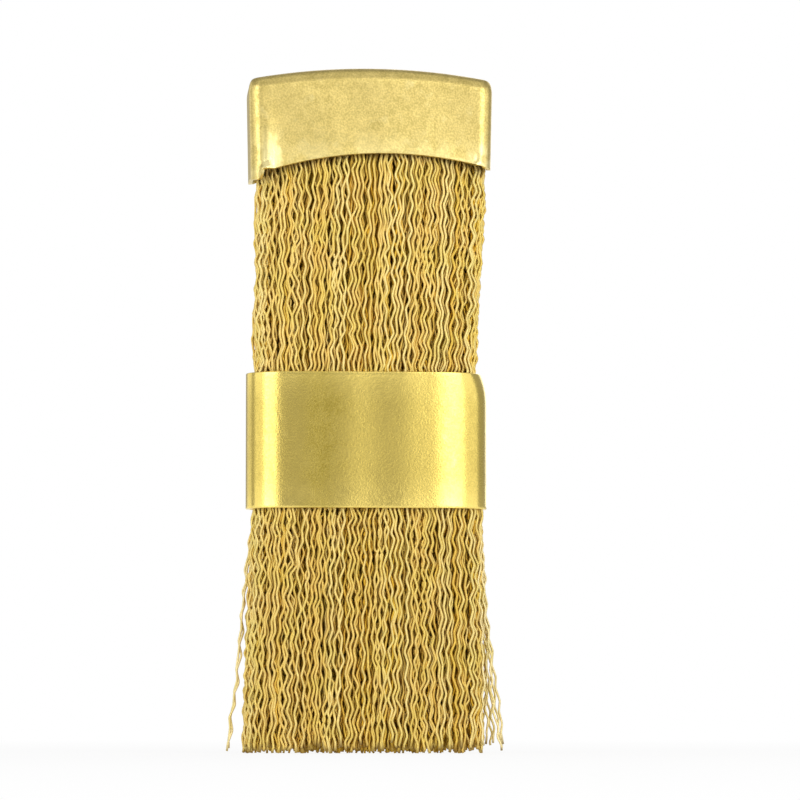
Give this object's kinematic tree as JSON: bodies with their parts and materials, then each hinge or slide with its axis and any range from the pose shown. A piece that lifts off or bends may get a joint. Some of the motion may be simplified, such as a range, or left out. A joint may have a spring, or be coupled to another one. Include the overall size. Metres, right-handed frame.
{
  "type": "tip cleaning brush",
  "caption": "Flat brass wire brush: crimped wires folded in an arched cap, with a sliding flat-oval sleeve that sets how stiff the bristles are.",
  "frame": {"origin": "on the surface that the wire tips stand on, under the middle of the brush", "axes": "+Z along the bristles, from their tips to the cap; +X across the width, to the right seen from the front; the front faces -Y"},
  "size_m": [0.025, 0.0072, 0.0615],
  "materials": {
    "cap_brass": "satin pressed sheet brass with fine mottling",
    "sleeve_brass": "satin rolled sheet brass, brighter on the round ends",
    "wire_brass": "drawn and crimped brass wire",
    "rod_steel": "plain drawn steel rod"
  },
  "bodies": {
    "root": {"cap_shell": "cap_brass", "core_rod": "rod_steel", "wire_hank_01": "wire_brass", "wire_hank_02": "wire_brass", "wire_hank_03": "wire_brass", "wire_hank_04": "wire_brass", "wire_hank_05": "wire_brass", "wire_hank_06": "wire_brass", "wire_hank_07": "wire_brass", "wire_hank_08": "wire_brass", "wire_hank_09": "wire_brass", "wire_hank_10": "wire_brass", "wire_hank_11": "wire_brass", "wire_hank_12": "wire_brass", "wire_hank_13": "wire_brass", "wire_hank_14": "wire_brass", "stray_wire_left_a": "wire_brass", "stray_wire_left_b": "wire_brass", "stray_wire_right_a": "wire_brass", "stray_wire_right_b": "wire_brass", "stray_wire_right_c": "wire_brass", "stray_wire_right_d": "wire_brass", "stray_wire_right_e": "wire_brass", "stray_wire_right_f": "wire_brass", "stray_wire_right_g": "wire_brass", "stray_wire_right_h": "wire_brass"},
    "sleeve": {"sliding_sleeve": "sleeve_brass"}
  },
  "joints": [
    {"name": "sleeve_slide", "type": "slide", "parent": "root", "child": "sleeve", "axis": [0, 0, 1], "range_m": [-0.0217, 0.0172], "deforming": ["stray_wire_left_a", "stray_wire_left_b", "stray_wire_right_a", "stray_wire_right_b", "stray_wire_right_c", "stray_wire_right_d", "stray_wire_right_e", "stray_wire_right_f", "stray_wire_right_g", "stray_wire_right_h"]}
  ]
}
